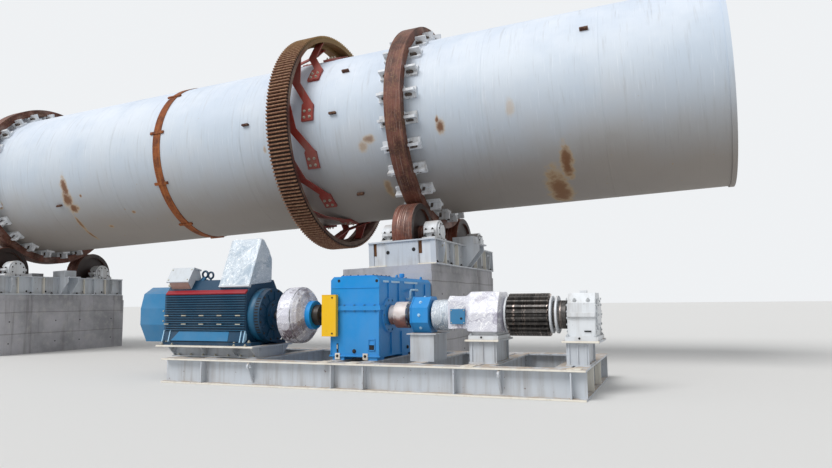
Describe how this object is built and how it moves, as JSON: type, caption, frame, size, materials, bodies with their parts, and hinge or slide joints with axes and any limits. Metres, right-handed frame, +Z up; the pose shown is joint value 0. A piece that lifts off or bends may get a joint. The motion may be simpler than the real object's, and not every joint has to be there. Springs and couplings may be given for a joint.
{
  "type": "rotary kiln",
  "caption": "Inclined rotary drum on two roller stations with girth gear, and its drive skid with motor, gearbox and pinion.",
  "frame": {"origin": "on the ground, straight below the drum axis at the middle of the main tyre", "axes": "+X along the drum and uphill, +Y away from the drive skid, +Z up"},
  "size_m": [26.4382, 8.2238, 8.2767],
  "materials": {
    "concrete": "rough",
    "white_paint": "satin",
    "shell_paint": "satin",
    "rusty_steel": "rough",
    "red_oxide": "satin",
    "navy_paint": "satin",
    "sky_paint": "satin",
    "blue_paint": "gloss",
    "yellow_paint": "gloss",
    "grey_box": "satin",
    "machined_steel": "machined"
  },
  "bodies": {
    "base": {"pier_main": "concrete", "pier_tail": "concrete", "base_frame_main": "white_paint", "base_frame_tail": "white_paint", "bearings_main_near": "white_paint", "bearings_main_far": "white_paint", "bearings_tail_near": "white_paint", "bearings_tail_far": "white_paint", "skid_frame": "white_paint", "motor_stand": "white_paint", "motor_body": "navy_paint", "motor_fan_cowl": "sky_paint", "motor_end_shield": "navy_paint", "terminal_box_small": "grey_box", "terminal_box_large": "sky_paint", "motor_lifting_eyes": "navy_paint", "gearbox_case": "blue_paint", "gearbox_cover": "blue_paint", "input_guard": "yellow_paint", "octagon_guard": "blue_paint", "guard_pedestal": "white_paint", "shaft_guard": "sky_paint", "pinion_bearing_left": "white_paint", "pinion_bearing_right": "white_paint", "bearing_stand_left": "white_paint", "bearing_stand_right": "white_paint"},
    "drum": {"shell_tail": "shell_paint", "shell_middle": "shell_paint", "shell_head": "shell_paint", "end_ring_tail": "shell_paint", "end_ring_head": "shell_paint", "tyre_tail": "rusty_steel", "tyre_main": "rusty_steel", "tyre_pads_tail": "shell_paint", "tyre_pads_main": "shell_paint", "girth_gear": "rusty_steel", "gear_springs": "red_oxide", "shell_band": "rusty_steel", "shell_lugs": "rusty_steel"},
    "roller_main_near": {"roller_main_near": "rusty_steel"},
    "roller_main_far": {"roller_main_far": "rusty_steel"},
    "roller_tail_near": {"roller_tail_near": "rusty_steel"},
    "roller_tail_far": {"roller_tail_far": "rusty_steel"},
    "pinion_line": {"pinion": "machined_steel", "pinion_shaft": "machined_steel", "output_coupling": "machined_steel"},
    "motor_line": {"motor_coupling": "machined_steel"}
  },
  "joints": [
    {"name": "drum_turn", "type": "hinge", "parent": "base", "child": "drum", "pos_m": [0, 0, 5.62], "axis": [0.9994, 0, 0.0349], "continuous": true},
    {"name": "roller_main_near_turn", "type": "hinge", "parent": "base", "child": "roller_main_near", "pos_m": [0.09564, -1.51905, 2.88122], "axis": [0.9994, 0, 0.0349], "continuous": true},
    {"name": "roller_main_far_turn", "type": "hinge", "parent": "base", "child": "roller_main_far", "pos_m": [0.09564, 1.51905, 2.88122], "axis": [0.9994, 0, 0.0349], "continuous": true},
    {"name": "roller_tail_near_turn", "type": "hinge", "parent": "base", "child": "roller_tail_near", "pos_m": [-13.01637, -1.51905, 2.42334], "axis": [0.9994, 0, 0.0349], "continuous": true},
    {"name": "roller_tail_far_turn", "type": "hinge", "parent": "base", "child": "roller_tail_far", "pos_m": [-13.01637, 1.51905, 2.42334], "axis": [0.9994, 0, 0.0349], "continuous": true},
    {"name": "pinion_turn", "type": "hinge", "parent": "base", "child": "pinion_line", "pos_m": [3.322, -4.45, 1.18], "axis": [1, 0, 0], "continuous": true},
    {"name": "motor_turn", "type": "hinge", "parent": "base", "child": "motor_line", "pos_m": [-1, -4.45, 1.18], "axis": [1, 0, 0], "continuous": true}
  ],
  "couplings": [
    {"joint": "roller_main_near_turn", "follows": "drum_turn", "ratio": -3.6074},
    {"joint": "roller_main_far_turn", "follows": "drum_turn", "ratio": -3.6074},
    {"joint": "roller_tail_near_turn", "follows": "drum_turn", "ratio": -3.6074},
    {"joint": "roller_tail_far_turn", "follows": "drum_turn", "ratio": -3.6074},
    {"joint": "motor_turn", "follows": "pinion_turn", "ratio": 40}
  ]
}
